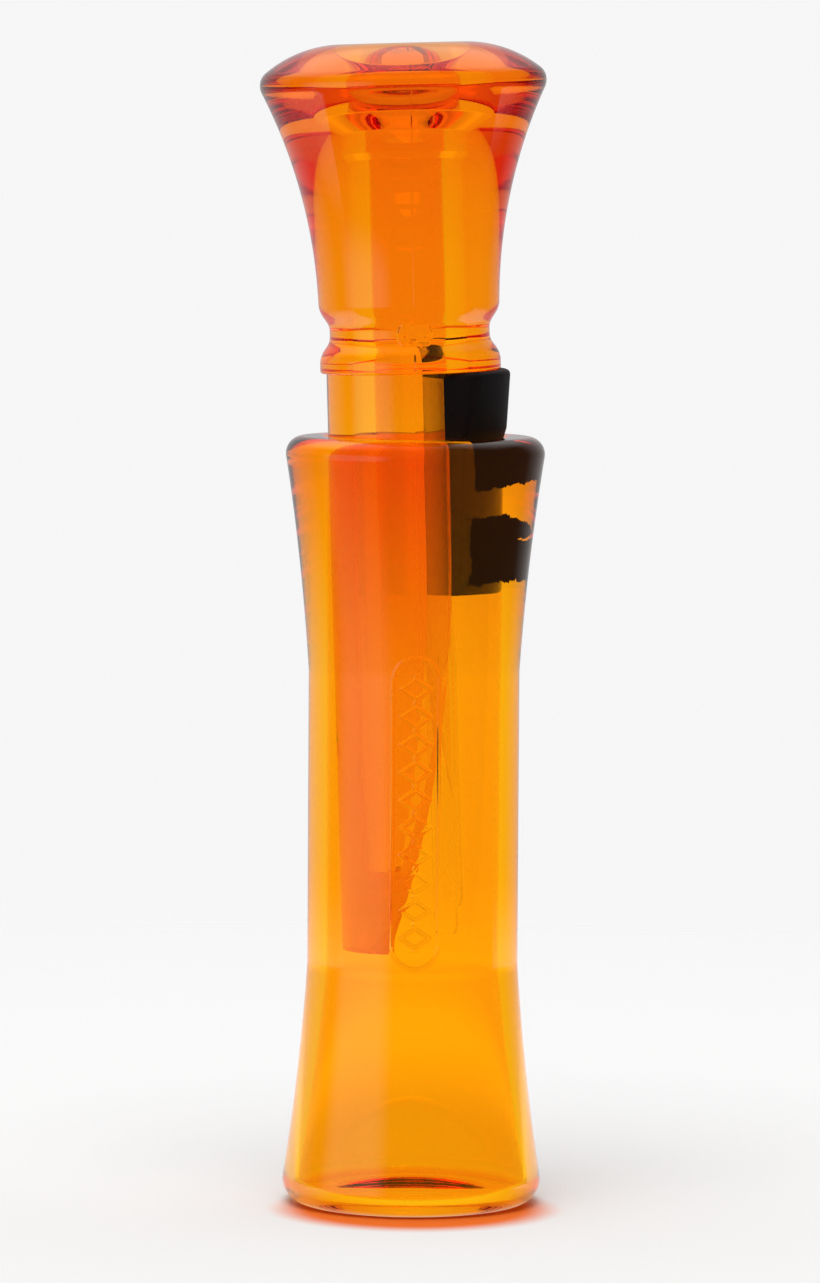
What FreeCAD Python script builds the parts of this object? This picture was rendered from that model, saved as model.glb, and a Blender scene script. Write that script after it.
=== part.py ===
import FreeCAD, Part
import math
import os

# Duck call, standing on its mouthpiece. Millimetres, +Z up along the barrel's axis, origin in the middle of the
# mouthpiece's rest plane. +X is the side that the tone board's flat, the reeds and the rubber wedge face.
V = FreeCAD.Vector

# --- barrel ---
BARREL_H = 84.2          # mouthpiece plane to the rim that takes the insert
WAIST_R = 11.53          # straight grip between the two flares
WAIST_Z0 = 26.5
WAIST_Z1 = 58.5
FLARE_MID = (12.1, 12.59)     # two points of each flare: distance along the axis from the waist's end, radius
FLARE_END = (23.4, 14.11)
MOUTH_EDGE_R = 2.5       # outer rounding at the mouthpiece
RIM_EDGE_R = 1.9         # outer rounding at the rim
BORE_RIM_R = 9.6         # bore that takes the tenon, with its moulding draft
BORE_END_R = 9.4
BORE_END_Z = 26.0
RIM_LEAD_IN = 0.7        # inner rounding at the rim
CHAMBER_MID = (10.75, 14.0)   # below the bore the inside follows the lower flare: radius, height
CHAMBER_END = (12.6, 1.6)     # where it would meet the mouthpiece's floor
CHAMBER_CORNER_R = 1.2
MOUTH_R = 8.1            # mouthpiece hole through the floor
MOUTH_LIP_R = 0.6        # rounding of both its edges

# --- raised badge outline on the grip ---
BADGE_W = 5.3
BADGE_L = 34.0
BADGE_Z = 43.9
BADGE_LINE = 0.22
BADGE_HEIGHT = 0.12
BADGE_AZIMUTH = -98.0    # degrees from +X, turning towards +Y

# --- insert: bell, lanyard groove, collar, tenon and tone board in one moulding ---
TOP_Z = 127.0
TIP_Z = 28.4             # free end of the tone board
TENON_R = 9.2
COLLAR_R = 9.86
COLLAR_Z = 91.3          # collar's underside
GROOVE_R = 8.72
GROOVE_FLOOR = (94.7, 96.4)
GROOVE_MOUTH = (93.1, 98.1)
GROOVE_FLOOR_R = 1.8       # roundings at its floor and at its mouth
GROOVE_MOUTH_R = 2.6
BELL_MID = (11.5, 111.0)      # radius, height on the bell's hollow flank
BELL_EDGE = (16.05, 123.1)    # where the flank and the dome would meet
BELL_EDGE_R = 1.9
DOME_MID = (11.7, 126.0)
CREST_R = 7.0
LIP_R = 0.9              # rounding from the crest into the funnel
FUNNEL_R = 6.3
FUNNEL_END_Z = 121.0
THROAT_R = 4.4
THROAT_Z = 119.0
CHANNEL_R = 4.0          # tone channel
CHANNEL_STEP_Z = (112.6, 113.4)
CHANNEL_END_Z = 37.0     # blind end of the channel in the tone board
FLAT_X = 2.1             # tone board's flat, measured from the insert's own axis
CURVE_START_Z = 72.3     # below this the face falls away from the reeds
CURVE_R = 136.0
TIP_CORNER_R = 0.8

# --- how the insert sits in the barrel: the wedge pushes its tenon against the far side of the rim ---
LEAN_DEG = 1.86          # bell end towards -X
RIM_SHIFT = -0.35        # insert axis at the rim's plane, along X

# --- reeds ---
REED_W = 12.5
REED_T = 0.25
REED_GAP = 0.03          # between flat, lower reed, upper reed and wedge
REED_SIDE_GAP = 0.1      # between the reeds' edges and the wedge
REED_ROOT_Z = 90.6
LOWER_REED_TIP_Z = 30.0
UPPER_REED_TIP_Z = 33.0
REED_CORNER_R = 1.6

# --- rubber wedge ---
WEDGE_W = 18.0           # it fills the cut-out of the tenon from side to side
WEDGE_TOE_Z = 67.4
WEDGE_FIT = 0.05         # clearance to the bore
WEDGE_NECK_R = 9.95      # from the barrel's axis, just above the rim
WEDGE_NECK_Z = 84.9
WEDGE_TOP_R = 10.38      # from the barrel's axis, under the collar
WEDGE_EDGE_R = 0.7


def arc(a, m, b):
    """Edge through three (radius, height) points in the XZ plane."""
    return Part.Arc(V(a[0], 0, a[1]), V(m[0], 0, m[1]), V(b[0], 0, b[1])).toShape()


def line(a, b):
    return Part.makeLine(V(a[0], 0, a[1]), V(b[0], 0, b[1]))


def chain(points):
    return [line(a, b) for a, b in zip(points, points[1:])]


def turned(edges):
    """Solid of revolution about Z of a closed outline in the XZ plane."""
    face = Part.Face(Part.Wire(Part.__sortEdges__(edges)))
    return face.revolve(V(0, 0, 0), V(0, 0, 1), 360)


def rings(shape, z, r):
    """Full circles of a turned shape at this height and radius."""
    found = []
    for edge in shape.Edges:
        box = edge.BoundBox
        if box.ZLength < 0.01 and abs(box.ZMin - z) < 0.01 and abs(box.XMax - r) < 0.02:
            found.append(edge)
    return found


def flare_end(direction, z_start, z_end):
    """Middle and end (radius, height) of a flare that starts at the waist and is cut square at z_end."""
    start, mid, end = ((r, z_start + direction * dz) for dz, r in ((0, WAIST_R), FLARE_MID, FLARE_END))
    circle = arc(start, mid, end).Curve

    def radius_at(z):
        return circle.Center.x - math.sqrt(circle.Radius ** 2 - (z - circle.Center.z) ** 2)

    z_mid = (z_start + z_end) / 2
    return (radius_at(z_mid), z_mid), (radius_at(z_end), z_end)


def bore_radius(z):
    slope = (BORE_RIM_R - BORE_END_R) / (BARREL_H - BORE_END_Z)
    return BORE_END_R + slope * (z - BORE_END_Z)


def barrel_body():
    low_mid, low_end = flare_end(-1, WAIST_Z0, 0)
    up_mid, up_end = flare_end(1, WAIST_Z1, BARREL_H)
    outline = [arc(low_end, low_mid, (WAIST_R, WAIST_Z0)), line((WAIST_R, WAIST_Z0), (WAIST_R, WAIST_Z1)),
               arc((WAIST_R, WAIST_Z1), up_mid, up_end)]
    bore_end, floor_z = (BORE_END_R, BORE_END_Z), CHAMBER_END[1]
    outline += chain([up_end, (BORE_RIM_R, BARREL_H), bore_end]) + [arc(bore_end, CHAMBER_MID, CHAMBER_END)]
    outline += chain([CHAMBER_END, (MOUTH_R, floor_z), (MOUTH_R, 0), low_end])
    body = turned(outline)
    body = body.makeFillet(MOUTH_EDGE_R, rings(body, 0, low_end[0]))
    body = body.makeFillet(RIM_EDGE_R, rings(body, BARREL_H, up_end[0]))
    body = body.makeFillet(RIM_LEAD_IN, rings(body, BARREL_H, BORE_RIM_R))
    body = body.makeFillet(CHAMBER_CORNER_R, rings(body, floor_z, CHAMBER_END[0]))
    return body.makeFillet(MOUTH_LIP_R, rings(body, 0, MOUTH_R) + rings(body, floor_z, MOUTH_R))


def stadium(width, length):
    """Upright flat stadium in the YZ plane, centred on the origin."""
    r, h = width / 2, (length - width) / 2
    sides = [Part.makeLine(V(0, s * r, -h), V(0, s * r, h)) for s in (-1, 1)]
    ends = [Part.Arc(V(0, -r, s * h), V(0, 0, s * (h + r)), V(0, r, s * h)).toShape() for s in (-1, 1)]
    return Part.Face(Part.Wire(Part.__sortEdges__(sides + ends)))


def badge():
    """Raised outline that wraps the grip."""
    ring = stadium(BADGE_W, BADGE_L).cut(stadium(BADGE_W - 2 * BADGE_LINE, BADGE_L - 2 * BADGE_LINE))
    ring.translate(V(0, 0, BADGE_Z))
    prism = ring.extrude(V(WAIST_R + 2, 0, 0))
    root = Part.makeCylinder(WAIST_R - 0.3, BADGE_L + 2, V(0, 0, BADGE_Z - BADGE_L / 2 - 1))
    skin = Part.makeCylinder(WAIST_R + BADGE_HEIGHT, BADGE_L + 2, V(0, 0, BADGE_Z - BADGE_L / 2 - 1))
    rib = prism.common(skin.cut(root))
    rib.rotate(V(0, 0, 0), V(0, 0, 1), BADGE_AZIMUTH)
    return rib


def barrel():
    return barrel_body().fuse(badge()).removeSplitter()


def insert_body():
    """Bell, groove, collar and a full round tenon, with the tone channel through them."""
    groove = [(TENON_R, TIP_Z), (TENON_R, COLLAR_Z), (COLLAR_R, COLLAR_Z), (COLLAR_R, GROOVE_MOUTH[0]),
              (GROOVE_R, GROOVE_FLOOR[0]), (GROOVE_R, GROOVE_FLOOR[1]), (COLLAR_R, GROOVE_MOUTH[1])]
    crest = (CREST_R, TOP_Z)
    lip_end = (FUNNEL_R, TOP_Z - LIP_R)
    lip_mid = (CREST_R - (CREST_R - FUNNEL_R) * 0.7, TOP_Z - LIP_R * 0.3)
    outline = chain(groove) + [arc(groove[-1], BELL_MID, BELL_EDGE), arc(BELL_EDGE, DOME_MID, crest),
                               arc(crest, lip_mid, lip_end)]
    outline += chain([lip_end, (FUNNEL_R, FUNNEL_END_Z), (THROAT_R, THROAT_Z), (THROAT_R, CHANNEL_STEP_Z[1]),
                      (CHANNEL_R, CHANNEL_STEP_Z[0]), (CHANNEL_R, CHANNEL_END_Z), (0, CHANNEL_END_Z),
                      (0, TIP_Z), groove[0]])
    body = turned(outline)
    body = body.makeFillet(BELL_EDGE_R, rings(body, BELL_EDGE[1], BELL_EDGE[0]))
    floor = rings(body, GROOVE_FLOOR[0], GROOVE_R) + rings(body, GROOVE_FLOOR[1], GROOVE_R)
    body = body.makeFillet(GROOVE_FLOOR_R, floor)
    mouth = rings(body, GROOVE_MOUTH[0], COLLAR_R) + rings(body, GROOVE_MOUTH[1], COLLAR_R)
    return body.makeFillet(GROOVE_MOUTH_R, mouth)


def face_x(z):
    """The tone board's face below the flat, as a distance from the insert's axis."""
    return FLAT_X - CURVE_R + math.sqrt(CURVE_R ** 2 - (CURVE_START_Z - z) ** 2)


def face_cutter():
    """Everything in front of the tone board's face, from below the tip up to the collar."""
    clear, below = TENON_R + 2, TIP_Z - 5
    z_mid = (CURVE_START_Z + below) / 2
    flat_top, curve_top = (FLAT_X, COLLAR_Z), (FLAT_X, CURVE_START_Z)
    curve_mid, curve_end = (face_x(z_mid), z_mid), (face_x(below), below)
    outline = [line(flat_top, curve_top), arc(curve_top, curve_mid, curve_end)]
    outline += chain([curve_end, (clear, below), (clear, COLLAR_Z), flat_top])
    face = Part.Face(Part.Wire(Part.__sortEdges__(outline)))
    face.translate(V(0, -clear, 0))
    return face.extrude(V(0, 2 * clear, 0))


def seat(shape):
    """Moves a shape from the insert's own upright frame to where the insert sits in the barrel."""
    shape.translate(V(RIM_SHIFT, 0, 0))
    shape.rotate(V(RIM_SHIFT, 0, BARREL_H), V(0, -1, 0), LEAN_DEG)
    return shape


def insert():
    body = insert_body().cut(face_cutter())
    tip = [e for e in body.Edges if e.BoundBox.ZMax < TIP_Z + 0.01]
    return seat(body.makeFillet(TIP_CORNER_R, tip))


def reed(order, tip_z):
    """Flat strip lying on the tone board; order 0 is next to the board."""
    x0 = FLAT_X + REED_GAP + order * (REED_T + REED_GAP)
    strip = Part.makeBox(REED_T, REED_W, REED_ROOT_Z - tip_z, V(x0, -REED_W / 2, tip_z))
    corners = [e for e in strip.Edges if e.BoundBox.ZMax < tip_z + 0.01 and e.BoundBox.XLength > REED_T / 2]
    return seat(strip.makeFillet(REED_CORNER_R, corners))


def reed_wedge():
    """Block over the reeds and down both their sides; its outside follows the bore and bulges above the rim."""
    height, base_x = COLLAR_Z - WEDGE_TOE_Z, FLAT_X + REED_GAP
    slot_w, slot_t = REED_W + 2 * REED_SIDE_GAP, 2 * (REED_T + REED_GAP)
    block = Part.makeBox(12, WEDGE_W, height, V(base_x, -WEDGE_W / 2, WEDGE_TOE_Z))
    block = seat(block.cut(Part.makeBox(slot_t, slot_w, height, V(base_x, -slot_w / 2, WEDGE_TOE_Z))))
    z_rim = BARREL_H - RIM_LEAD_IN
    side = [(bore_radius(WEDGE_TOE_Z) - WEDGE_FIT, WEDGE_TOE_Z - 1), (bore_radius(z_rim) - WEDGE_FIT, z_rim),
            (WEDGE_NECK_R, WEDGE_NECK_Z), (WEDGE_TOP_R, COLLAR_Z + 1)]
    hull = turned(chain([(0, WEDGE_TOE_Z - 1)] + side + [(0, COLLAR_Z + 1), (0, WEDGE_TOE_Z - 1)]))
    wedge = block.common(hull)
    toe = [e for e in wedge.Edges if e.BoundBox.ZMax < WEDGE_TOE_Z + 1 and e.BoundBox.XLength > 2]
    return wedge.makeFillet(WEDGE_EDGE_R, toe)


PIECES = {
    "barrel": barrel(),
    "insert": insert(),
    "lower_reed": reed(0, LOWER_REED_TIP_Z),
    "upper_reed": reed(1, UPPER_REED_TIP_Z),
    "reed_wedge": reed_wedge(),
}

os.makedirs("parts", exist_ok=True)
for name, shape in PIECES.items():
    shape.exportStep("parts/" + name + ".step")
    box = shape.optimalBoundingBox()
    print(name, "valid", shape.isValid(), "solids", len(shape.Solids), "volume mm3", round(shape.Volume, 1),
          "z", round(box.ZMin, 2), round(box.ZMax, 2), "x", round(box.XMin, 2), round(box.XMax, 2))
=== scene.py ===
import math

import bmesh
import bpy
from mathutils import Matrix, Vector, noise


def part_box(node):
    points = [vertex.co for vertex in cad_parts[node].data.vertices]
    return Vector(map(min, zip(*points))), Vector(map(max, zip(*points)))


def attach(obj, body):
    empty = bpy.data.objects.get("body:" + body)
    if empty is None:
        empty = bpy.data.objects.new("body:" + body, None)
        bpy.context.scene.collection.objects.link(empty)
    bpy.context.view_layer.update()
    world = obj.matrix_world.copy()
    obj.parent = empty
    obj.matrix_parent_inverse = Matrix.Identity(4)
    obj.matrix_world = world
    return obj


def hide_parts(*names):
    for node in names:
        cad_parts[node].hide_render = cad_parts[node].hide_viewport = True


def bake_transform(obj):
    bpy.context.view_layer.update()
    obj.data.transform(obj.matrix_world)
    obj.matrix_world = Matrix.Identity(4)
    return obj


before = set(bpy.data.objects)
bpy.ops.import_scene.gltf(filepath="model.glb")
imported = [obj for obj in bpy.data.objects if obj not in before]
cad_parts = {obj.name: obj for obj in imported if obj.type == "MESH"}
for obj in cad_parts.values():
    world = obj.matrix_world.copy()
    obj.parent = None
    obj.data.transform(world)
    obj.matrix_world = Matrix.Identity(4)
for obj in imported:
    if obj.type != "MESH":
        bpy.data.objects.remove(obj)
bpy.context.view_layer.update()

# Lengths are millimetres until a mesh is made; the frame is in metres.
MM = 0.001
COLUMNS = 208            # columns round a turned piece

# --- barrel ---
BARREL_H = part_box("barrel")[1].z / MM
WAIST_R, WAIST_Z0, WAIST_Z1 = 11.53, 26.5, 58.5
FLARE_MID, FLARE_END = (12.1, 12.59), (23.4, 14.11)
MOUTH_EDGE_R, RIM_EDGE_R, RIM_LEAD_IN = 2.5, 1.9, 0.7
BORE_RIM_R, BORE_END_R, BORE_END_Z = 9.6, 9.4, 26.0
CHAMBER_MID, CHAMBER_END, CHAMBER_CORNER_R = (10.75, 14.0), (12.6, 1.6), 1.2
MOUTH_R, MOUTH_LIP_R = 8.1, 0.6

# --- badge on the grip: outline and ornament in low relief ---
BADGE_W, BADGE_L, BADGE_Z, BADGE_AZIMUTH = 5.3, 34.0, 43.9, -98.0
BADGE_LINE, BADGE_HEIGHT, BADGE_SOFT = 0.30, 0.11, 0.16
BADGE_MARGIN = 0.4                     # how far round it the finer mesh goes
OUTSIDE_R = 10.8                       # all of the barrel's outside is beyond this radius
LOZENGE_W, LOZENGE_L = 1.55, 1.05      # half sizes, across and along the badge
LOZENGE_PITCH, LOZENGES = 3.0, 10
DOT_R, DOT_RIM = 0.27, 0.02

# --- moulding marks on the insert ---
SEAM_AZIMUTH, SEAM_HALF_W, SEAM_HEIGHT = -95.6, 0.10, 0.05
SEAM_STEPS_DEG = (-1.2, -0.9, -0.6, -0.3, 0, 0.3, 0.6, 0.9, 1.2)   # where the mesh follows the seam closely
PAD_Z, PAD_R, PAD_ROUGH, PAD_REACH = 95.5, 1.85, 0.04, 9.0         # it reaches out to the last radius
PAD_EDGE, PAD_GRAIN = 0.1, 2.2
MARKS_R = 8.4                          # all the marks are further out than this
COLUMN_CLEAR = 0.006                   # radians that an even column keeps from a close one

# --- insert, in its own upright frame ---
LEAN = math.radians(1.86)
RIM_SHIFT = -0.35
TENON_R, COLLAR_R, COLLAR_Z, GROOVE_R = 9.2, 9.86, 91.3, 8.72
GROOVE_MOUTH, GROOVE_FLOOR = (93.1, 98.1), (94.7, 96.4)
GROOVE_MOUTH_R, GROOVE_FLOOR_R = 2.6, 1.8
BELL_MID, BELL_EDGE, BELL_EDGE_R = (11.5, 111.0), (16.03, 123.1), 1.9
TIP_Z, TOP_Z, DOME_MID, CREST_R = 28.4, 127.0, (11.7, 126.0), 7.0
FUNNEL_R, FUNNEL_Z = 6.3, (126.0, 121.0)
THROAT_R, THROAT_Z = 4.4, (119.0, 116.4)
CHANNEL_R, CHANNEL_Z = 4.0, (115.6, 37.0)
FLAT_X, CURVE_START_Z, CURVE_R = 2.1, 72.3, 136.0
FACE_STEP, FACE_STEPS = 1.2, 42

# --- reeds and wedge ---
REED_W, REED_T, REED_GAP, REED_SIDE_GAP = 12.5, 0.25, 0.03, 0.1
REED_ROOT_Z, LOWER_TIP_Z, UPPER_TIP_Z, REED_CORNER = 90.6, 30.0, 33.0, 1.6
WEDGE_W, WEDGE_TOE_Z, WEDGE_EDGE_R = 18.0, 67.4, 0.65
WEDGE_NECK, WEDGE_TOP = (9.95, 84.9), (10.38, 92.0)   # radius from the barrel's axis, height, above the rim
WEDGE_GAP, WEDGE_BITE = 0.05, 0.02     # off the bore where it is slack, and into the bore where it clings
WEDGE_CORNER, WEDGE_TOE_EDGE, WEDGE_BASE_EDGE = 1.2, 0.5, 0.25   # roundings at its sides, toe and base
PATCH_UPPER_Z, PATCH_LOWER_Z = 78.7, (68.4, 76.2)   # the heights where it clings to the bore
PATCH_SIDE, PATCH_FEATHER = -10.0, 0.10             # where they start round the bore, and their soft edge
SLIT_Z, SLIT_START, SLIT_HALF = 73.2, -4.5, 0.16    # slack slit in the lower patch
DIMPLE_Z, DIMPLE_R, DIMPLE_DEPTH = 59.3, 1.3, 0.3


# ---------------------------------------------------------------- outlines

def circle_through(a, m, b):
    """Centre and radius of the circle through three points."""
    ab, am = b - a, m - a
    d = 2 * (am.x * ab.y - am.y * ab.x)
    ux = (ab.y * am.length_squared - am.y * ab.length_squared) / d
    uy = (am.x * ab.length_squared - ab.x * am.length_squared) / d
    return a + Vector((ux, uy)), Vector((ux, uy)).length


def arc_points(a, m, b, step):
    """Points from a to b on the circle through m, about one step apart."""
    a, m, b = Vector(a), Vector(m), Vector(b)
    centre, radius = circle_through(a, m, b)

    def angle(p):
        return math.atan2(p.y - centre.y, p.x - centre.x)

    t0, tm, t1 = angle(a), angle(m), angle(b)
    turn = (t1 - t0) % (2 * math.pi)
    if (tm - t0) % (2 * math.pi) > turn:
        turn -= 2 * math.pi
    count = max(2, math.ceil(abs(turn) * radius / step))
    spots = [t0 + turn * i / count for i in range(count + 1)]
    return [centre + radius * Vector((math.cos(t), math.sin(t))) for t in spots]


def line_points(a, b, step):
    a, b = Vector(a), Vector(b)
    count = max(1, math.ceil((b - a).length / step))
    return [a.lerp(b, i / count) for i in range(count + 1)]


def trimmed(points, cut):
    """The polyline with its last stretch of length cut taken off, and its direction there."""
    points = list(points)
    while len(points) > 1 and (points[-1] - points[-2]).length < cut:
        cut -= (points[-1] - points[-2]).length
        points.pop()
    end, before = points[-1], points[-2]
    direction = (end - before).normalized()
    points[-1] = end - direction * cut
    return points, direction


class Outline:
    """Closed section of lines and arcs, in (radius, height), with rounded corners."""

    def __init__(self, start, rounding=0.0):
        self.start, self.rounding = start, rounding
        self.end = start
        self.edges = []

    def line(self, end, rounding=0.0, step=1.2):
        self.edges.append((line_points(self.end, end, step), rounding))
        self.end = end
        return self

    def arc(self, middle, end, rounding=0.0, step=0.8):
        self.edges.append((arc_points(self.end, middle, end, step), rounding))
        self.end = end
        return self

    def points(self):
        """The section as one loop of points; an edge's rounding is at its far end."""
        edges = [list(points) for points, _ in self.edges]
        rounds = [rounding for _, rounding in self.edges]
        bends = {}
        for i, radius in enumerate(rounds):
            if radius <= 0:
                continue
            j = (i + 1) % len(edges)
            into = (edges[i][-1] - edges[i][-2]).normalized()
            out = (edges[j][1] - edges[j][0]).normalized()
            turn = into.angle(out)
            cut = radius * math.tan(turn / 2)
            edges[i], into = trimmed(edges[i], cut)
            back, out = trimmed(edges[j][::-1], cut)
            edges[j], out = back[::-1], -out
            handle = 4 / 3 * math.tan(turn / 4) * radius
            p0, p3 = edges[i][-1], edges[j][0]
            p1, p2 = p0 + into * handle, p3 - out * handle
            count = max(6, math.ceil(turn * radius / 0.15))
            bends[i] = [bezier(p0, p1, p2, p3, k / count) for k in range(1, count)]
        loop = []
        for i, edge in enumerate(edges):
            loop += edge[:-1] + ([edge[-1]] + bends[i] if i in bends else [])
        return loop


def bezier(p0, p1, p2, p3, t):
    s = 1 - t
    return p0 * s ** 3 + p1 * (3 * s * s * t) + p2 * (3 * s * t * t) + p3 * t ** 3


# ---------------------------------------------------------------- meshes

def mesh_object(name, bm, material, sharp_deg=35):
    """Object from a bmesh in millimetres."""
    bmesh.ops.scale(bm, vec=(MM, MM, MM), verts=bm.verts)
    bmesh.ops.recalc_face_normals(bm, faces=bm.faces)
    mesh = bpy.data.meshes.new(name)
    bm.to_mesh(mesh)
    bm.free()
    mesh.materials.append(material)
    mesh.shade_smooth()
    mesh.set_sharp_from_angle(angle=math.radians(sharp_deg))
    piece = bpy.data.objects.new(name, mesh)
    bpy.context.collection.objects.link(piece)
    return piece


def turned(loop, angles):
    """bmesh of a closed (radius, height) loop turned about Z; points on the axis become poles."""
    bm = bmesh.new()
    rings = []
    for r, z in loop:
        if r < 1e-4:
            rings.append([bm.verts.new((0, 0, z))])
        else:
            rings.append([bm.verts.new((r * math.cos(t), r * math.sin(t), z)) for t in angles])
    n = len(angles)
    for i, low in enumerate(rings):
        high = rings[(i + 1) % len(rings)]
        if len(low) == len(high) == 1:
            continue
        for k in range(n):
            m = (k + 1) % n
            corners = [low[k % len(low)], low[m % len(low)], high[m % len(high)], high[k % len(high)]]
            bm.faces.new(list(dict.fromkeys(corners)))
    return bm


def even_angles(count):
    return [2 * math.pi * k / count for k in range(count)]


def seat(bm):
    """Moves a bmesh from the insert's own upright frame to where the insert sits in the barrel."""
    pivot = Matrix.Translation((RIM_SHIFT, 0, BARREL_H))
    lean = pivot @ Matrix.Rotation(-LEAN, 4, "Y") @ pivot.inverted()
    bmesh.ops.transform(bm, matrix=lean @ Matrix.Translation((RIM_SHIFT, 0, 0)), verts=bm.verts)
    return bm


# ---------------------------------------------------------------- barrel

def flare_points(direction, z_start, z_end):
    """Middle and end (radius, height) of a flare from the waist, cut square at z_end."""
    ends = [Vector((r, z_start + direction * dz)) for dz, r in ((0, WAIST_R), FLARE_MID, FLARE_END)]
    centre, radius = circle_through(*ends)

    def at(z):
        return centre.x - math.sqrt(radius ** 2 - (z - centre.y) ** 2), z

    return at((z_start + z_end) / 2), at(z_end)


def bore_radius(z):
    return BORE_END_R + (BORE_RIM_R - BORE_END_R) * (z - BORE_END_Z) / (BARREL_H - BORE_END_Z)


def barrel_loop():
    low_mid, low_end = flare_points(-1, WAIST_Z0, 0)
    up_mid, up_end = flare_points(1, WAIST_Z1, BARREL_H)
    section = Outline(low_end)
    section.arc(low_mid, (WAIST_R, WAIST_Z0), step=0.6)
    section.line((WAIST_R, WAIST_Z1), step=0.35)
    section.arc(up_mid, up_end, RIM_EDGE_R)
    section.line((BORE_RIM_R, BARREL_H), RIM_LEAD_IN)
    section.line((BORE_END_R, BORE_END_Z))
    section.arc(CHAMBER_MID, CHAMBER_END, CHAMBER_CORNER_R)
    section.line((MOUTH_R, CHAMBER_END[1]), MOUTH_LIP_R)
    section.line((MOUTH_R, 0), MOUTH_LIP_R)
    section.line(low_end, MOUTH_EDGE_R)
    return section.points()


def outer_radius(z):
    """Outside of the barrel between its rounded ends."""
    beyond = max(WAIST_Z0 - z, z - WAIST_Z1, 0.0)
    ends = [Vector((r, dz)) for dz, r in ((0, WAIST_R), FLARE_MID, FLARE_END)]
    centre, radius = circle_through(*ends)
    return centre.x - math.sqrt(radius ** 2 - (beyond - centre.y) ** 2)


def ridge(distance, half_width, height):
    """Height of a raised line whose middle is this far away."""
    edge = min(1.0, max(0.0, (half_width + BADGE_SOFT / 2 - abs(distance)) / BADGE_SOFT))
    return height * edge * edge * (3 - 2 * edge)


def badge_height(across, along):
    """Relief of the badge: a stadium outline, and inside it a chain of lozenges with dots between them."""
    straight = (BADGE_L - BADGE_W) / 2
    from_spine = math.hypot(across, max(0.0, abs(along) - straight))
    height = ridge(from_spine - (BADGE_W - BADGE_LINE) / 2, BADGE_LINE / 2, BADGE_HEIGHT)
    if abs(along) < LOZENGE_PITCH * LOZENGES / 2:
        local = (along / LOZENGE_PITCH + LOZENGES / 2) % 1.0 - 0.5
        slope = 1 / math.hypot(1 / LOZENGE_W, 1 / LOZENGE_L)
        side = (abs(across) / LOZENGE_W + abs(local) * LOZENGE_PITCH / LOZENGE_L - 1) * slope
        dot = math.hypot(across, (0.5 - abs(local)) * LOZENGE_PITCH) - DOT_R
        lozenge = ridge(side, BADGE_LINE / 2, BADGE_HEIGHT)
        height = max(height, lozenge, ridge(max(0.0, dot), DOT_RIM, BADGE_HEIGHT))
    return height


def raise_badge(bm):
    """Refines the grip's mesh under the badge and lifts it into relief."""
    azimuth = math.radians(BADGE_AZIMUTH)
    reach_across, reach_along = BADGE_W / 2 + BADGE_MARGIN, BADGE_L / 2 + BADGE_MARGIN

    def place(co):
        turn = (math.atan2(co.y, co.x) - azimuth + math.pi) % (2 * math.pi) - math.pi
        return turn * WAIST_R, co.z - BADGE_Z

    def on_badge(co):
        across, along = place(co)
        return math.hypot(co.x, co.y) > OUTSIDE_R and abs(across) < reach_across and abs(along) < reach_along

    edges = {e for f in bm.faces if on_badge(f.calc_center_median()) for e in f.edges}
    bmesh.ops.subdivide_edges(bm, edges=list(edges), cuts=3, use_grid_fill=True)
    for v in bm.verts:
        if math.hypot(v.co.x, v.co.y) > OUTSIDE_R and abs(v.co.z - BADGE_Z) < BADGE_L / 2 + 1:
            across, along = place(v.co)
            if abs(across) < reach_across + BADGE_MARGIN:
                angle = azimuth + across / WAIST_R
                r = outer_radius(v.co.z) + badge_height(across, along)
                v.co.x, v.co.y = r * math.cos(angle), r * math.sin(angle)


def barrel(material):
    bm = turned(barrel_loop(), even_angles(COLUMNS))
    raise_badge(bm)
    return mesh_object("barrel_moulding", bm, material)


# ---------------------------------------------------------------- insert

def insert_loop():
    section = Outline((TENON_R, TIP_Z))
    section.line((TENON_R, COLLAR_Z))
    section.line((COLLAR_R, COLLAR_Z), 0.25)
    section.line((COLLAR_R, GROOVE_MOUTH[0]), GROOVE_MOUTH_R, step=0.2)
    section.line((GROOVE_R, GROOVE_FLOOR[0]), GROOVE_FLOOR_R, step=0.15)
    section.line((GROOVE_R, GROOVE_FLOOR[1]), GROOVE_FLOOR_R, step=0.15)
    section.line((COLLAR_R, GROOVE_MOUTH[1]), GROOVE_MOUTH_R, step=0.15)
    section.arc(BELL_MID, BELL_EDGE, BELL_EDGE_R)
    section.arc(DOME_MID, (CREST_R, TOP_Z), 0.5)
    section.line((FUNNEL_R, FUNNEL_Z[0]), 0.5)
    section.line((FUNNEL_R, FUNNEL_Z[1]), 0.3)
    section.line((THROAT_R, THROAT_Z[0]), 0.3)
    section.line((THROAT_R, THROAT_Z[1]), 0.1)
    section.line((CHANNEL_R, CHANNEL_Z[0]), 0.1)
    section.line((CHANNEL_R, CHANNEL_Z[1]))
    section.line((0, CHANNEL_Z[1]))
    section.line((0, TIP_Z))
    section.line((TENON_R, TIP_Z))
    return section.points()


def face_x(z):
    return FLAT_X - CURVE_R + math.sqrt(CURVE_R ** 2 - (CURVE_START_Z - z) ** 2)


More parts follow.
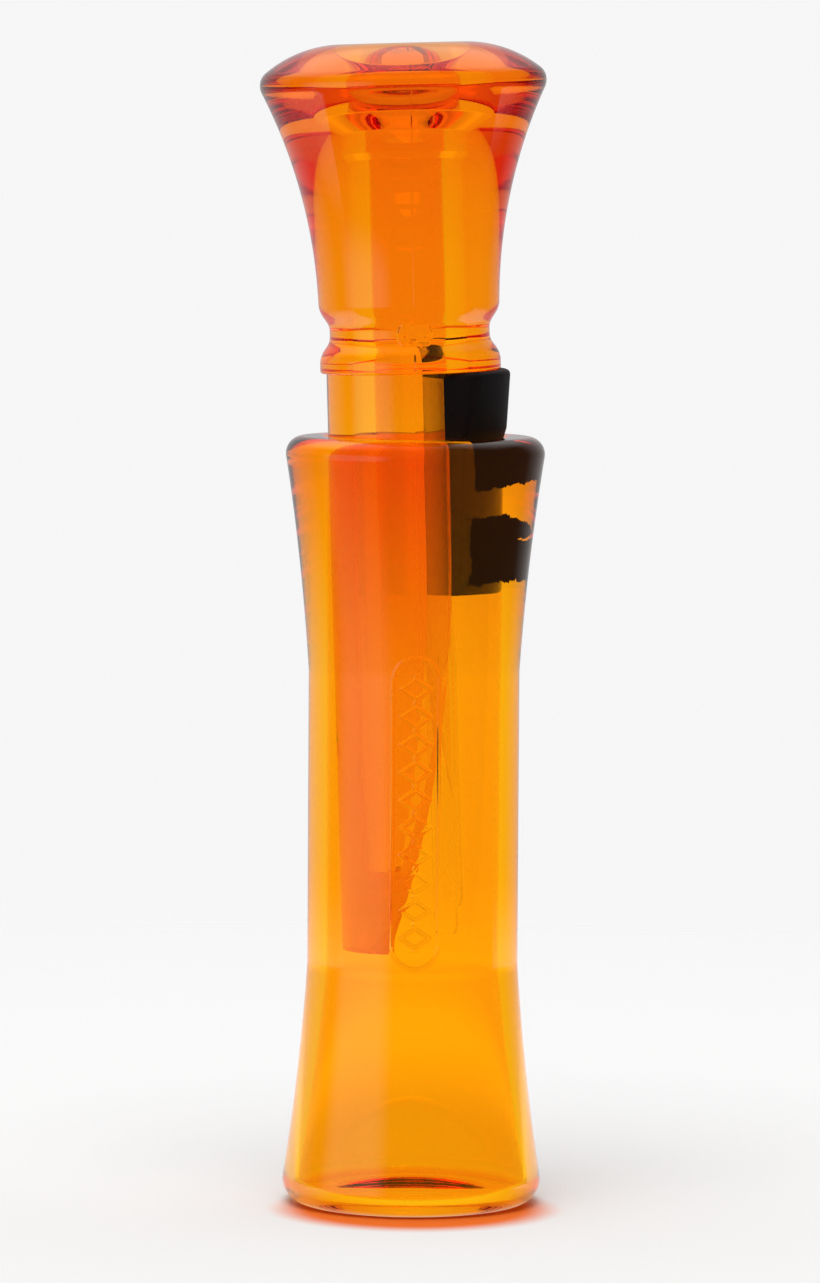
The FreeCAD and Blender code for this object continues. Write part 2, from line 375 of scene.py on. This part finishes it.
def face_cutter():
    """What the tone board's face is cut away with."""
    clear, below = TENON_R + 2, TIP_Z - 5
    heights = [CURVE_START_Z - FACE_STEP * i for i in range(FACE_STEPS)]
    rows = [(FLAT_X, COLLAR_Z)] + [(face_x(z), z) for z in heights if z > below]
    rows += [(face_x(below), below), (clear, below), (clear, COLLAR_Z)]
    bm = bmesh.new()
    near = [bm.verts.new((x, -clear, z)) for x, z in rows]
    face = bm.faces.new(near)
    grown = bmesh.ops.extrude_face_region(bm, geom=[face])
    moved = [v for v in grown["geom"] if isinstance(v, bmesh.types.BMVert)]
    bmesh.ops.translate(bm, vec=(0, 2 * clear, 0), verts=moved)
    return seat(bm)


def mark_angles():
    """Even columns, with close ones round the seam and the pad in the groove."""
    seam = math.radians(SEAM_AZIMUTH)
    close = [seam + math.radians(d) for d in SEAM_STEPS_DEG]
    close += [seam + math.radians(side * d) for side in (-1, 1) for d in (2 + 0.6 * i for i in range(20))]

    def nearest(t):
        return min(abs((t - c + math.pi) % (2 * math.pi) - math.pi) for c in close)

    every = [t for t in even_angles(COLUMNS) if nearest(t) > COLUMN_CLEAR]
    return sorted(every + [c % (2 * math.pi) for c in close])


def raise_marks(bm):
    """The mould's seam along the front of the bell and the round pad in the groove, both in low relief."""
    for v in bm.verts:
        r = math.hypot(v.co.x, v.co.y)
        turn = (math.atan2(v.co.y, v.co.x) - math.radians(SEAM_AZIMUTH) + math.pi) % (2 * math.pi) - math.pi
        if r < MARKS_R or v.co.z < COLLAR_Z + 0.2:
            continue
        lift = ridge(turn * r, SEAM_HALF_W, SEAM_HEIGHT)
        from_pad = math.hypot(turn * r, v.co.z - PAD_Z)
        if from_pad < PAD_R + 2 * PAD_EDGE:
            step = ridge(max(0.0, from_pad - PAD_R + PAD_EDGE), PAD_EDGE, 1.0)
            lift = step * (max(0.0, PAD_REACH - r) + PAD_ROUGH * noise.noise(v.co * PAD_GRAIN))
        v.co.x *= 1 + lift / r
        v.co.y *= 1 + lift / r


def insert(material):
    bm = turned(insert_loop(), mark_angles())
    raise_marks(bm)
    piece = mesh_object("insert_moulding", seat(bm), material)
    cutter = mesh_object("cutter", face_cutter(), material)
    cut = piece.modifiers.new("face", "BOOLEAN")
    cut.operation, cut.solver, cut.object = "DIFFERENCE", "EXACT", cutter
    apply_modifiers(piece)
    bpy.data.objects.remove(cutter)
    piece.data.set_sharp_from_angle(angle=math.radians(35))
    return piece


def apply_modifiers(piece):
    bpy.context.view_layer.update()
    done = bpy.data.meshes.new_from_object(piece.evaluated_get(bpy.context.evaluated_depsgraph_get()))
    piece.modifiers.clear()
    old, name = piece.data, piece.data.name
    piece.data = done
    bpy.data.meshes.remove(old)
    done.name = name


# ---------------------------------------------------------------- reeds

def reed(name, material, order, tip_z, lift):
    """Strip on the tone board, with rounded tip corners; lift raises it off its neighbour towards the tip."""
    x0 = FLAT_X + REED_GAP + order * (REED_T + REED_GAP)
    bm = bmesh.new()
    rows = line_points((REED_ROOT_Z, 0), (tip_z, 0), 0.5)
    across = 24
    sheets = []
    for side in (0, 1):
        sheet = []
        for spot in rows:
            z = spot.x
            from_tip = z - tip_z
            half = REED_W / 2
            if from_tip < REED_CORNER:
                half -= REED_CORNER - math.sqrt(REED_CORNER ** 2 - (REED_CORNER - from_tip) ** 2)
            row = []
            for k in range(across + 1):
                y = half * (2 * k / across - 1)
                x = x0 + side * REED_T + lift(y, z)
                row.append(bm.verts.new((x, y, z)))
            sheet.append(row)
        sheets.append(sheet)
    for sheet in sheets:
        for a, b in zip(sheet, sheet[1:]):
            for k in range(across):
                bm.faces.new((a[k], a[k + 1], b[k + 1], b[k]))
    bottom, top = sheets
    rim = [(r, 0) for r in range(len(rows))] + [(len(rows) - 1, k) for k in range(1, across + 1)]
    rim += [(r, across) for r in range(len(rows) - 2, -1, -1)] + [(0, k) for k in range(across - 1, 0, -1)]
    for (r0, k0), (r1, k1) in zip(rim, rim[1:] + rim[:1]):
        bm.faces.new((bottom[r0][k0], bottom[r1][k1], top[r1][k1], top[r0][k0]))
    return mesh_object(name, seat(bm), material)


def flat(y, z):
    return 0.0


def sprung(y, z):
    """The upper reed's dimple rests on the lower reed and holds the two apart."""
    away = min(1.0, max(0.0, (WEDGE_TOE_Z - z) / (WEDGE_TOE_Z - DIMPLE_Z)))
    rise = DIMPLE_DEPTH * away * away * (3 - 2 * away)
    dimple = max(0.0, 1 - ((y / DIMPLE_R) ** 2 + ((z - DIMPLE_Z) / DIMPLE_R) ** 2))
    return rise - DIMPLE_DEPTH * dimple


# ---------------------------------------------------------------- wedge

def wedge(material):
    """Rubber block that fills the tenon's cut-out from the upper reed to the bore."""
    base_x = FLAT_X + REED_GAP
    bm = bmesh.new()
    layer = bm.verts.layers.float.new("cling")
    loops = []
    for spot in line_points((WEDGE_TOE_Z, 0), (COLLAR_Z - 0.01, 0), 0.15):
        loop = []
        for x, y, cling in wedge_section(spot.x, base_x):
            loop.append(bm.verts.new((x, y, spot.x)))
            loop[-1][layer] = cling
        loops.append(loop)
    for a, b in zip(loops, loops[1:]):
        for k in range(len(a)):
            m = (k + 1) % len(a)
            bm.faces.new((a[k], a[m], b[m], b[k]))
    bm.faces.new(loops[0])
    bm.faces.new(loops[-1])
    return mesh_object("reed_wedge_rubber", seat(bm), material, sharp_deg=60)


def wedge_section(z, base_x):
    """Loop of (x, y, cling) at one height, in the insert's frame, always with the same number of points."""
    axis_gap = RIM_SHIFT + (BARREL_H - z) * math.tan(LEAN)
    shrink = end_rounding(z - WEDGE_TOE_Z, WEDGE_TOE_EDGE) + end_rounding(COLLAR_Z - z, WEDGE_EDGE_R)
    half = WEDGE_W / 2 - shrink
    base_x += min(shrink, WEDGE_BASE_EDGE)
    slot, floor = REED_W / 2 + REED_SIDE_GAP, base_x + 2 * (REED_T + REED_GAP)
    loop = [(base_x, half + (slot - half) * i / 5, 1.0) for i in range(5)]
    loop.append((base_x, slot, 1.0))
    loop += [(floor, slot * (1 - i / 15), 1.0) for i in range(31)]
    loop.append((base_x, -slot, 1.0))
    loop += [(base_x, -slot - (half - slot) * i / 5, 1.0) for i in range(1, 5)]
    outer = outer_reach(-math.asin(half / bore_radius(z)), z) - shrink
    swing = math.asin(half / outer)
    edge = outer * math.cos(swing) - axis_gap
    # Inside the barrel the sides get no cling, so they take the painted brown sheen; above the rim they are
    # plain black.
    side_cling = 1.0 if z > BARREL_H else 0.0
    loop += [(base_x + (edge - base_x) * i / 8, -half, side_cling) for i in range(8)]
    for i in range(150):
        t = swing * (i / 75 - 1)
        r = outer_reach(t, z) - shrink - corner_rounding((swing - abs(t)) * outer)
        loop.append((r * math.cos(t) - axis_gap, r * math.sin(t), contact(t, z) if z < BARREL_H else 1.0))
    loop += [(edge + (base_x - edge) * i / 8, half, side_cling) for i in range(8)]
    return loop


def corner_rounding(from_corner):
    """How far the outside draws in next to its corner with the wedge's side."""
    near = max(0.0, 1 - from_corner / WEDGE_CORNER)
    return WEDGE_CORNER * 0.25 * near * near


def end_rounding(from_end, radius):
    """How far a rounded end has drawn in, this far from it."""
    if from_end >= radius:
        return 0.0
    return radius - math.sqrt(max(0.0, radius ** 2 - (radius - from_end) ** 2))


def outer_reach(turn, z):
    """Radius of the wedge's outside from the barrel's axis: along the bore, then swelling above the rim."""
    rim_z = BARREL_H - RIM_LEAD_IN
    if z > rim_z:
        low = (bore_radius(rim_z) - WEDGE_GAP, rim_z)
        for (r0, z0), (r1, z1) in ((low, WEDGE_NECK), (WEDGE_NECK, WEDGE_TOP)):
            if z <= z1:
                return r0 + (r1 - r0) * (z - z0) / (z1 - z0)
    cling = contact(turn, z)
    return bore_radius(z) - WEDGE_GAP + (WEDGE_GAP + WEDGE_BITE) * cling


def contact(turn, z):
    """1 where the rubber clings to the bore: two patches with feathered edges and slack between them."""
    arc = turn * BORE_END_R
    feather = 0.35 * noise.noise(Vector((arc * 1.1, z * 0.35, 3.7)))
    feather += 0.22 * noise.noise(Vector((arc * 4.0, z * 1.2, 8.1)))
    from_side = max(0.0, arc - PATCH_SIDE)
    upper = min(z - (PATCH_UPPER_Z + 0.10 * from_side), arc - PATCH_SIDE + 0.6) + feather
    top = PATCH_LOWER_Z[1] - 0.035 * (from_side - 2.0) ** 2
    lower = min(z - PATCH_LOWER_Z[0], top - z, 0.5 * (arc - PATCH_SIDE + 1.0)) + feather
    if arc > SLIT_START:
        wander = 0.4 * noise.noise(Vector((arc * 0.5, 1.3, 0)))
        lower = min(lower, abs(z - SLIT_Z - wander) - SLIT_HALF + 0.05 * max(0.0, -arc))
    return min(1.0, max(0.0, max(upper, lower) / PATCH_FEATHER))


# ---------------------------------------------------------------- materials

# Tints are taken at the surface; depth colours are what a millimetre of plastic lets through.
BARREL_TINT, BARREL_DEPTH = (1.0, 0.68, 0.02, 1), (0.993, 0.91, 0.5, 1)
INSERT_TINT, INSERT_DEPTH = (0.98, 0.78, 0.03, 1), (0.996, 0.955, 0.6, 1)
BOARD_TINT, BELL_TINT, TINT_RUN = (1.0, 0.96, 0.07, 1), (0.97, 0.56, 0.02, 1), (0.055, 0.098)
# The first rubber colour is browner: a painted sheen for the light the film of air gives back where the
# rubber stands off the bore; the second is the rubber where it clings.
RUBBER_PAINTED_SHEEN, RUBBER_CLING = (0.036, 0.009, 0.007, 1), (0.012, 0.007, 0.008, 1)
PER_MM = 1000.0


def new_material(name):
    material = bpy.data.materials.new(name)
    material.use_nodes = True
    nodes, links = material.node_tree.nodes, material.node_tree.links
    nodes.clear()
    out = nodes.new("ShaderNodeOutputMaterial")
    shader = nodes.new("ShaderNodeBsdfPrincipled")
    links.new(shader.outputs[0], out.inputs["Surface"])
    return material, nodes, links, shader, out


def orange_plastic(name, tint, depth_colour):
    """Clear dyed plastic; its colour comes partly at the surface and partly with depth."""
    material, nodes, links, shader, out = new_material(name)
    shader.inputs["Base Color"].default_value = tint
    shader.inputs["Transmission Weight"].default_value = 1.0
    shader.inputs["Roughness"].default_value = 0.02
    shader.inputs["IOR"].default_value = 1.585
    absorb = nodes.new("ShaderNodeVolumeAbsorption")
    absorb.inputs["Color"].default_value = depth_colour
    absorb.inputs["Density"].default_value = PER_MM
    links.new(absorb.outputs[0], out.inputs["Volume"])
    relief(nodes, links, shader, 220.0, 0.30, 0.00002, (1, 1, 0.35))
    return material


def relief(nodes, links, shader, scale, strength, distance, stretch=(1, 1, 1)):
    """Fine bumps in the surface, fixed to the piece; scale is per metre."""
    place, spread = nodes.new("ShaderNodeTexCoord"), nodes.new("ShaderNodeMapping")
    grain, bump = nodes.new("ShaderNodeTexNoise"), nodes.new("ShaderNodeBump")
    spread.inputs["Scale"].default_value = stretch
    grain.inputs["Scale"].default_value, grain.inputs["Detail"].default_value = scale, 3.0
    bump.inputs["Strength"].default_value, bump.inputs["Distance"].default_value = strength, distance
    links.new(place.outputs["Object"], spread.inputs["Vector"])
    links.new(spread.outputs[0], grain.inputs["Vector"])
    links.new(grain.outputs[0], bump.inputs["Height"])
    links.new(bump.outputs[0], shader.inputs["Normal"])


def deepen_upwards(material, low_tint, high_tint, run):
    """Runs the tint from one height to another: the thin tone board looks paler than the solid bell."""
    nodes, links = material.node_tree.nodes, material.node_tree.links
    shader = next(n for n in nodes if n.type == "BSDF_PRINCIPLED")
    place, split = nodes.new("ShaderNodeTexCoord"), nodes.new("ShaderNodeSeparateXYZ")
    rise, ramp = nodes.new("ShaderNodeMapRange"), nodes.new("ShaderNodeMix")
    ramp.data_type = "RGBA"
    rise.interpolation_type = "SMOOTHSTEP"
    rise.inputs["From Min"].default_value, rise.inputs["From Max"].default_value = run
    ramp.inputs[6].default_value, ramp.inputs[7].default_value = low_tint, high_tint
    links.new(place.outputs["Object"], split.inputs[0])
    links.new(split.outputs["Z"], rise.inputs["Value"])
    links.new(rise.outputs[0], ramp.inputs[0])
    links.new(ramp.outputs[2], shader.inputs["Base Color"])


def reed_film():
    material, nodes, links, shader, out = new_material("reed_film")
    shader.inputs["Base Color"].default_value = (0.97, 0.97, 0.96, 1)
    shader.inputs["Transmission Weight"].default_value = 1.0
    shader.inputs["Roughness"].default_value = 0.03
    shader.inputs["IOR"].default_value = 1.4
    relief(nodes, links, shader, 900.0, 0.2, 0.00001, (1, 1, 0.1))
    return material


def black_rubber():
    """Matte rubber with a moulded grain; where a film of air parts it from the bore, a painted brown sheen
    stands for the light that film gives back.
    """
    material, nodes, links, shader, out = new_material("black_rubber")
    # The cling attribute mixes in the painted brown sheen where the rubber stands off the bore.
    cling, tone = nodes.new("ShaderNodeAttribute"), nodes.new("ShaderNodeMix")
    cling.attribute_name, tone.data_type = "cling", "RGBA"
    tone.inputs[6].default_value, tone.inputs[7].default_value = RUBBER_PAINTED_SHEEN, RUBBER_CLING
    links.new(cling.outputs["Fac"], tone.inputs[0])
    links.new(tone.outputs[2], shader.inputs["Base Color"])
    shader.inputs["Roughness"].default_value = 0.65
    shader.inputs["Specular IOR Level"].default_value = 0.35
    relief(nodes, links, shader, 2600.0, 0.25, 0.00003)
    return material


def floor_paper():
    """Pale matte table top that fades into the backdrop, with a painted orange glow where the call stands,
    for light that has come through the plastic, and painted shade under the call in what is seen through the
    plastic.
    """
    material, nodes, links, shader, out = new_material("floor_paper")
    shader.inputs["Roughness"].default_value = 1.0
    shader.inputs["Specular IOR Level"].default_value = 0.0
    place, path = nodes.new("ShaderNodeTexCoord"), nodes.new("ShaderNodeLightPath")

    def by_distance(centre, near, far, at_near, at_far):
        """Node that runs from one value to another with the distance from a spot on the table."""
        apart, run = nodes.new("ShaderNodeVectorMath"), nodes.new("ShaderNodeMapRange")
        apart.operation, run.interpolation_type = "DISTANCE", "SMOOTHSTEP"
        apart.inputs[1].default_value = centre
        for name, value in (("From Min", near), ("From Max", far), ("To Min", at_near), ("To Max", at_far)):
            run.inputs[name].default_value = value
        links.new(place.outputs["Object"], apart.inputs[0])
        links.new(apart.outputs["Value"], run.inputs["Value"])
        return run.outputs[0]

    # Painted glow: the paper's colour runs to orange-red round the call's foot, standing in for light that
    # has come through the plastic.
    tint = nodes.new("ShaderNodeMix")
    tint.data_type = "RGBA"
    tint.inputs[6].default_value, tint.inputs[7].default_value = PAINTED_GLOW_COLOUR, PAPER_COLOUR
    links.new(by_distance(PAINTED_GLOW_CENTRE, PAINTED_GLOW_INNER, PAINTED_GLOW_OUTER, 0.0, 1.0), tint.inputs[0])
    links.new(tint.outputs[2], shader.inputs["Base Color"])
    # Rays through the plastic, and gloss rays right under the call, see the table as an emission with painted
    # shade and a painted orange glow: dimmer and more orange near the call's foot.
    lit, glow = nodes.new("ShaderNodeMixShader"), nodes.new("ShaderNodeEmission")
    under = nodes.new("ShaderNodeMix")
    under.data_type = "RGBA"
    under.inputs[6].default_value, under.inputs[7].default_value = UNDER_PAINTED_GLOW, (1, 1, 1, 1)
    links.new(by_distance((0, 0, 0), *UNDER_TINT, 0.0, 1.0), under.inputs[0])
    links.new(under.outputs[2], glow.inputs["Color"])
    links.new(by_distance((0, 0, 0), *UNDER_FADE, UNDER_THROUGH, FLOOR_THROUGH), glow.inputs["Strength"])
    below, seen = nodes.new("ShaderNodeMath"), nodes.new("ShaderNodeMath")
    below.operation, seen.operation = "MULTIPLY", "MAXIMUM"
    links.new(by_distance((0, 0, 0), *UNDER_EDGE, 1.0, 0.0), below.inputs[0])
    links.new(path.outputs["Is Glossy Ray"], below.inputs[1])
    links.new(path.outputs["Is Transmission Ray"], seen.inputs[0])
    links.new(below.outputs[0], seen.inputs[1])
    links.new(seen.outputs[0], lit.inputs[0])
    links.new(shader.outputs[0], lit.inputs[1])
    links.new(glow.outputs[0], lit.inputs[2])
    clear, mix = nodes.new("ShaderNodeBsdfTransparent"), nodes.new("ShaderNodeMixShader")
    split, front = nodes.new("ShaderNodeSeparateXYZ"), nodes.new("ShaderNodeMapRange")
    front.inputs["From Min"].default_value, front.inputs["From Max"].default_value = 0.0, -FRONT_FADE
    unlit, thin = nodes.new("ShaderNodeMath"), nodes.new("ShaderNodeMath")
    unlit.operation, thin.operation = "MULTIPLY", "MAXIMUM"
    links.new(place.outputs["Object"], split.inputs[0])
    links.new(split.outputs["Y"], front.inputs["Value"])
    links.new(front.outputs[0], unlit.inputs[0])
    links.new(path.outputs["Is Glossy Ray"], unlit.inputs[1])
    links.new(unlit.outputs[0], thin.inputs[0])
    links.new(by_distance((0, 0, 0), FLOOR_SOLID, FLOOR_EDGE, 0.0, 1.0), thin.inputs[1])
    links.new(thin.outputs[0], mix.inputs[0])
    links.new(lit.outputs[0], mix.inputs[1])
    links.new(clear.outputs[0], mix.inputs[2])
    links.new(mix.outputs[0], out.inputs["Surface"])
    return material


# ---------------------------------------------------------------- studio

FLOOR_SOLID, FLOOR_EDGE = 0.10, 0.34      # metres from the call where the table starts to fade, and ends
FLOOR_LEVEL, FRONT_LEVEL, BACK_LEVEL = 0.58, 0.04, 0.76   # how bright the room is below, in front and behind
BACKDROP = 0.925                          # what the camera sees of it
LOW_THROUGH, HIGH_THROUGH = 1.10, 1.06    # how bright it is behind through the plastic, low down and high up
FRONT_THROUGH = 0.9                       # and in front
GLOSS_BACK = 0.55                         # how bright the room behind is in the gloss
FLOOR_THROUGH, UNDER_THROUGH = 1.5, 0.95  # the table seen through it, out in the light and under the call, where it is painted in shade
# The glow colour is a painted orange glow on the paper round the call's foot, for light that has come through
# the plastic.
PAPER_COLOUR, PAINTED_GLOW_COLOUR = (0.97, 0.97, 0.97, 1), (0.97, 0.20, 0.03, 1)
PAINTED_GLOW_CENTRE, PAINTED_GLOW_INNER, PAINTED_GLOW_OUTER = (-0.0006, -0.0062, 0), 0.0115, 0.0168
UNDER_PAINTED_GLOW, UNDER_TINT = (1.0, 0.5, 0.07, 1), (0.010, 0.022)   # painted orange glow of the table under the call as seen through the plastic; metres over which it fades to white
UNDER_FADE = (0.060, 0.220)               # and over which the table seen through the plastic gets brighter, out of the painted shade under the call
UNDER_EDGE = (0.0125, 0.0135)             # the edge of what the gloss sees of the table under the call, with its painted shade and glow
FRONT_FADE = 0.012                        # how soon the table in front of the call leaves the gloss
STRIP_PLACE, TOP_PLACE = (-0.60, -0.276, 0.08), (-0.05, 0.50, 0.75)   # softboxes


def make_camera():
    """Just above the bell's height, looking down a little at the middle of the call."""
    azimuth = math.radians(-9.3)
    distance, height, aim = 0.770, 0.120, 0.0617
    data = bpy.data.cameras.new("camera")
    data.lens, data.sensor_width, data.sensor_fit = 198.0, 36.0, "AUTO"
    camera = bpy.data.objects.new("camera", data)
    bpy.context.collection.objects.link(camera)
    camera.location = Vector((distance * math.sin(azimuth), -distance * math.cos(azimuth), height))
    right = Vector((math.cos(azimuth), math.sin(azimuth), 0))
    target = Vector((0, 0, aim)) - right * 0.00047
    turn = (target - camera.location).to_track_quat("-Z", "Y").to_matrix()
    camera.rotation_euler = (turn @ Matrix.Rotation(math.radians(0.35), 3, "Z")).to_euler()
    data.clip_start, data.clip_end = 0.05, 50
    bpy.context.scene.camera = camera
    return camera


def glow_card(name, place, aim, width, height, strength, soft):
    """A softbox's face that shows only in the gloss; soft is the share of its half size where it fades."""
    material = bpy.data.materials.new(name)
    material.use_nodes = True
    nodes, links = material.node_tree.nodes, material.node_tree.links
    nodes.clear()
    kinds = ("OutputMaterial", "Emission", "BsdfTransparent", "MixShader", "TexCoord", "SeparateXYZ")
    out, glow, clear, mix, where, split = (nodes.new("ShaderNode" + kind) for kind in kinds)
    links.new(where.outputs["Generated"], split.inputs[0])
    fade = nodes.new("ShaderNodeMath")
    fade.operation = "MULTIPLY"
    for slot, axis in enumerate("XY"):
        from_middle, run = nodes.new("ShaderNodeMath"), nodes.new("ShaderNodeMapRange")
        from_middle.operation = "PINGPONG"
        from_middle.inputs[1].default_value = 0.5
        run.interpolation_type = "SMOOTHSTEP"
        run.inputs["From Max"].default_value = soft / 2
        links.new(split.outputs[axis], from_middle.inputs[0])
        links.new(from_middle.outputs[0], run.inputs["Value"])
        links.new(run.outputs[0], fade.inputs[slot])
    glow.inputs["Strength"].default_value = strength
    links.new(fade.outputs[0], mix.inputs[0])
    links.new(clear.outputs[0], mix.inputs[1])
    links.new(glow.outputs[0], mix.inputs[2])
    links.new(mix.outputs[0], out.inputs["Surface"])
    mesh = bpy.data.meshes.new(name)
    x, y = width / 2, height / 2
    mesh.from_pydata([(-x, -y, 0), (x, -y, 0), (x, y, 0), (-x, y, 0)], [], [(0, 1, 2, 3)])
    mesh.materials.append(material)
    card = bpy.data.objects.new(name, mesh)
    bpy.context.collection.objects.link(card)
    card.location = place
    card.rotation_euler = (Vector(aim) - Vector(place)).to_track_quat("Z", "Y").to_euler()
    card.visible_camera = card.visible_diffuse = card.visible_shadow = card.visible_transmission = False


def make_world():
    """White behind and beside the call and dim in front of it; the camera sees an even pale backdrop."""
    world = bpy.data.worlds.new("studio")
    world.use_nodes = True
    nodes, links = world.node_tree.nodes, world.node_tree.links
    nodes.clear()
    where, split, path = (nodes.new("ShaderNode" + kind) for kind in ("TexCoord", "SeparateXYZ", "LightPath"))
    links.new(where.outputs["Generated"], split.inputs[0])

    def ramp(value, start, end, at_start, at_end):
        """Node that runs from one level to another; a level may itself be a node's output."""
        run = nodes.new("ShaderNodeMapRange")
        links.new(value, run.inputs["Value"])
        for name, level in (("From Min", start), ("From Max", end), ("To Min", at_start), ("To Max", at_end)):
            if isinstance(level, float):
                run.inputs[name].default_value = level
            else:
                links.new(level, run.inputs[name])
        return run.outputs[0]

    behind = ramp(split.outputs["Z"], -0.06, 0.02, FLOOR_LEVEL, BACK_LEVEL)
    room = ramp(split.outputs["Y"], -0.8, 0.2, FRONT_LEVEL, behind)
    sweep = ramp(split.outputs["Z"], -0.09, 0.0, LOW_THROUGH, HIGH_THROUGH)
    through = ramp(split.outputs["Y"], -0.8, 0.2, FRONT_THROUGH, sweep)
    gloss = ramp(split.outputs["Y"], 0.35, 0.95, FRONT_LEVEL, GLOSS_BACK)
    level = ramp(path.outputs["Is Glossy Ray"], 0.0, 1.0, room, gloss)
    level = ramp(path.outputs["Is Transmission Ray"], 0.0, 1.0, level, through)
    level = ramp(path.outputs["Is Camera Ray"], 0.0, 1.0, level, BACKDROP)
    out, shine = nodes.new("ShaderNodeOutputWorld"), nodes.new("ShaderNodeBackground")
    shine.inputs["Color"].default_value = (1, 1, 1, 1)
    links.new(level, shine.inputs["Strength"])
    links.new(shine.outputs[0], out.inputs["Surface"])
    bpy.context.scene.world = world


def make_sun():
    data = bpy.data.lights.new("key", "SUN")
    data.energy, data.angle = 1.52, math.radians(40)
    lamp = bpy.data.objects.new("key", data)
    bpy.context.collection.objects.link(lamp)
    lamp.rotation_euler = Vector((0.12, 0.35, -1)).to_track_quat("-Z", "Y").to_euler()
    lamp.visible_glossy = False


def make_floor():
    bm = bmesh.new()
    bmesh.ops.create_circle(bm, cap_ends=True, segments=96, radius=FLOOR_EDGE / MM)
    floor = mesh_object("floor", bm, floor_paper())


def make_studio():
    make_camera()
    make_world()
    make_sun()
    make_floor()
    glow_card("strip_left", STRIP_PLACE, aim=(0, 0, 0.07), width=1.0, height=0.5, strength=0.6, soft=0.6)
    glow_card("overhead", TOP_PLACE, aim=(-0.05, 0.499, 0), width=2.0, height=1.6, strength=1.0, soft=0.8)
    view = bpy.context.scene.view_settings
    view.view_transform, view.look = "Standard", "None"
    cycles = bpy.context.scene.cycles
    cycles.max_bounces, cycles.transmission_bounces, cycles.glossy_bounces = 32, 32, 16


# ---------------------------------------------------------------- assembly

make_studio()
barrel_plastic = orange_plastic("orange_polycarbonate", BARREL_TINT, BARREL_DEPTH)
insert_plastic = orange_plastic("orange_polycarbonate_insert", INSERT_TINT, INSERT_DEPTH)
deepen_upwards(insert_plastic, BOARD_TINT, BELL_TINT, TINT_RUN)
film, rubber = reed_film(), black_rubber()

barrel_piece = barrel(barrel_plastic)
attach(barrel_piece, "barrel")
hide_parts("barrel")

insert_piece = insert(insert_plastic)
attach(insert_piece, "insert")
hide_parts("insert")

wedge_piece = wedge(rubber)
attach(wedge_piece, "insert")
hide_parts("reed_wedge")

REEDS = (("lower_reed", LOWER_TIP_Z, flat), ("upper_reed", UPPER_TIP_Z, sprung))
for order, (body, tip_z, lift) in enumerate(REEDS):
    strip = reed(body + "_film", film, order, tip_z, lift)
    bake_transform(strip)
    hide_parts(body)
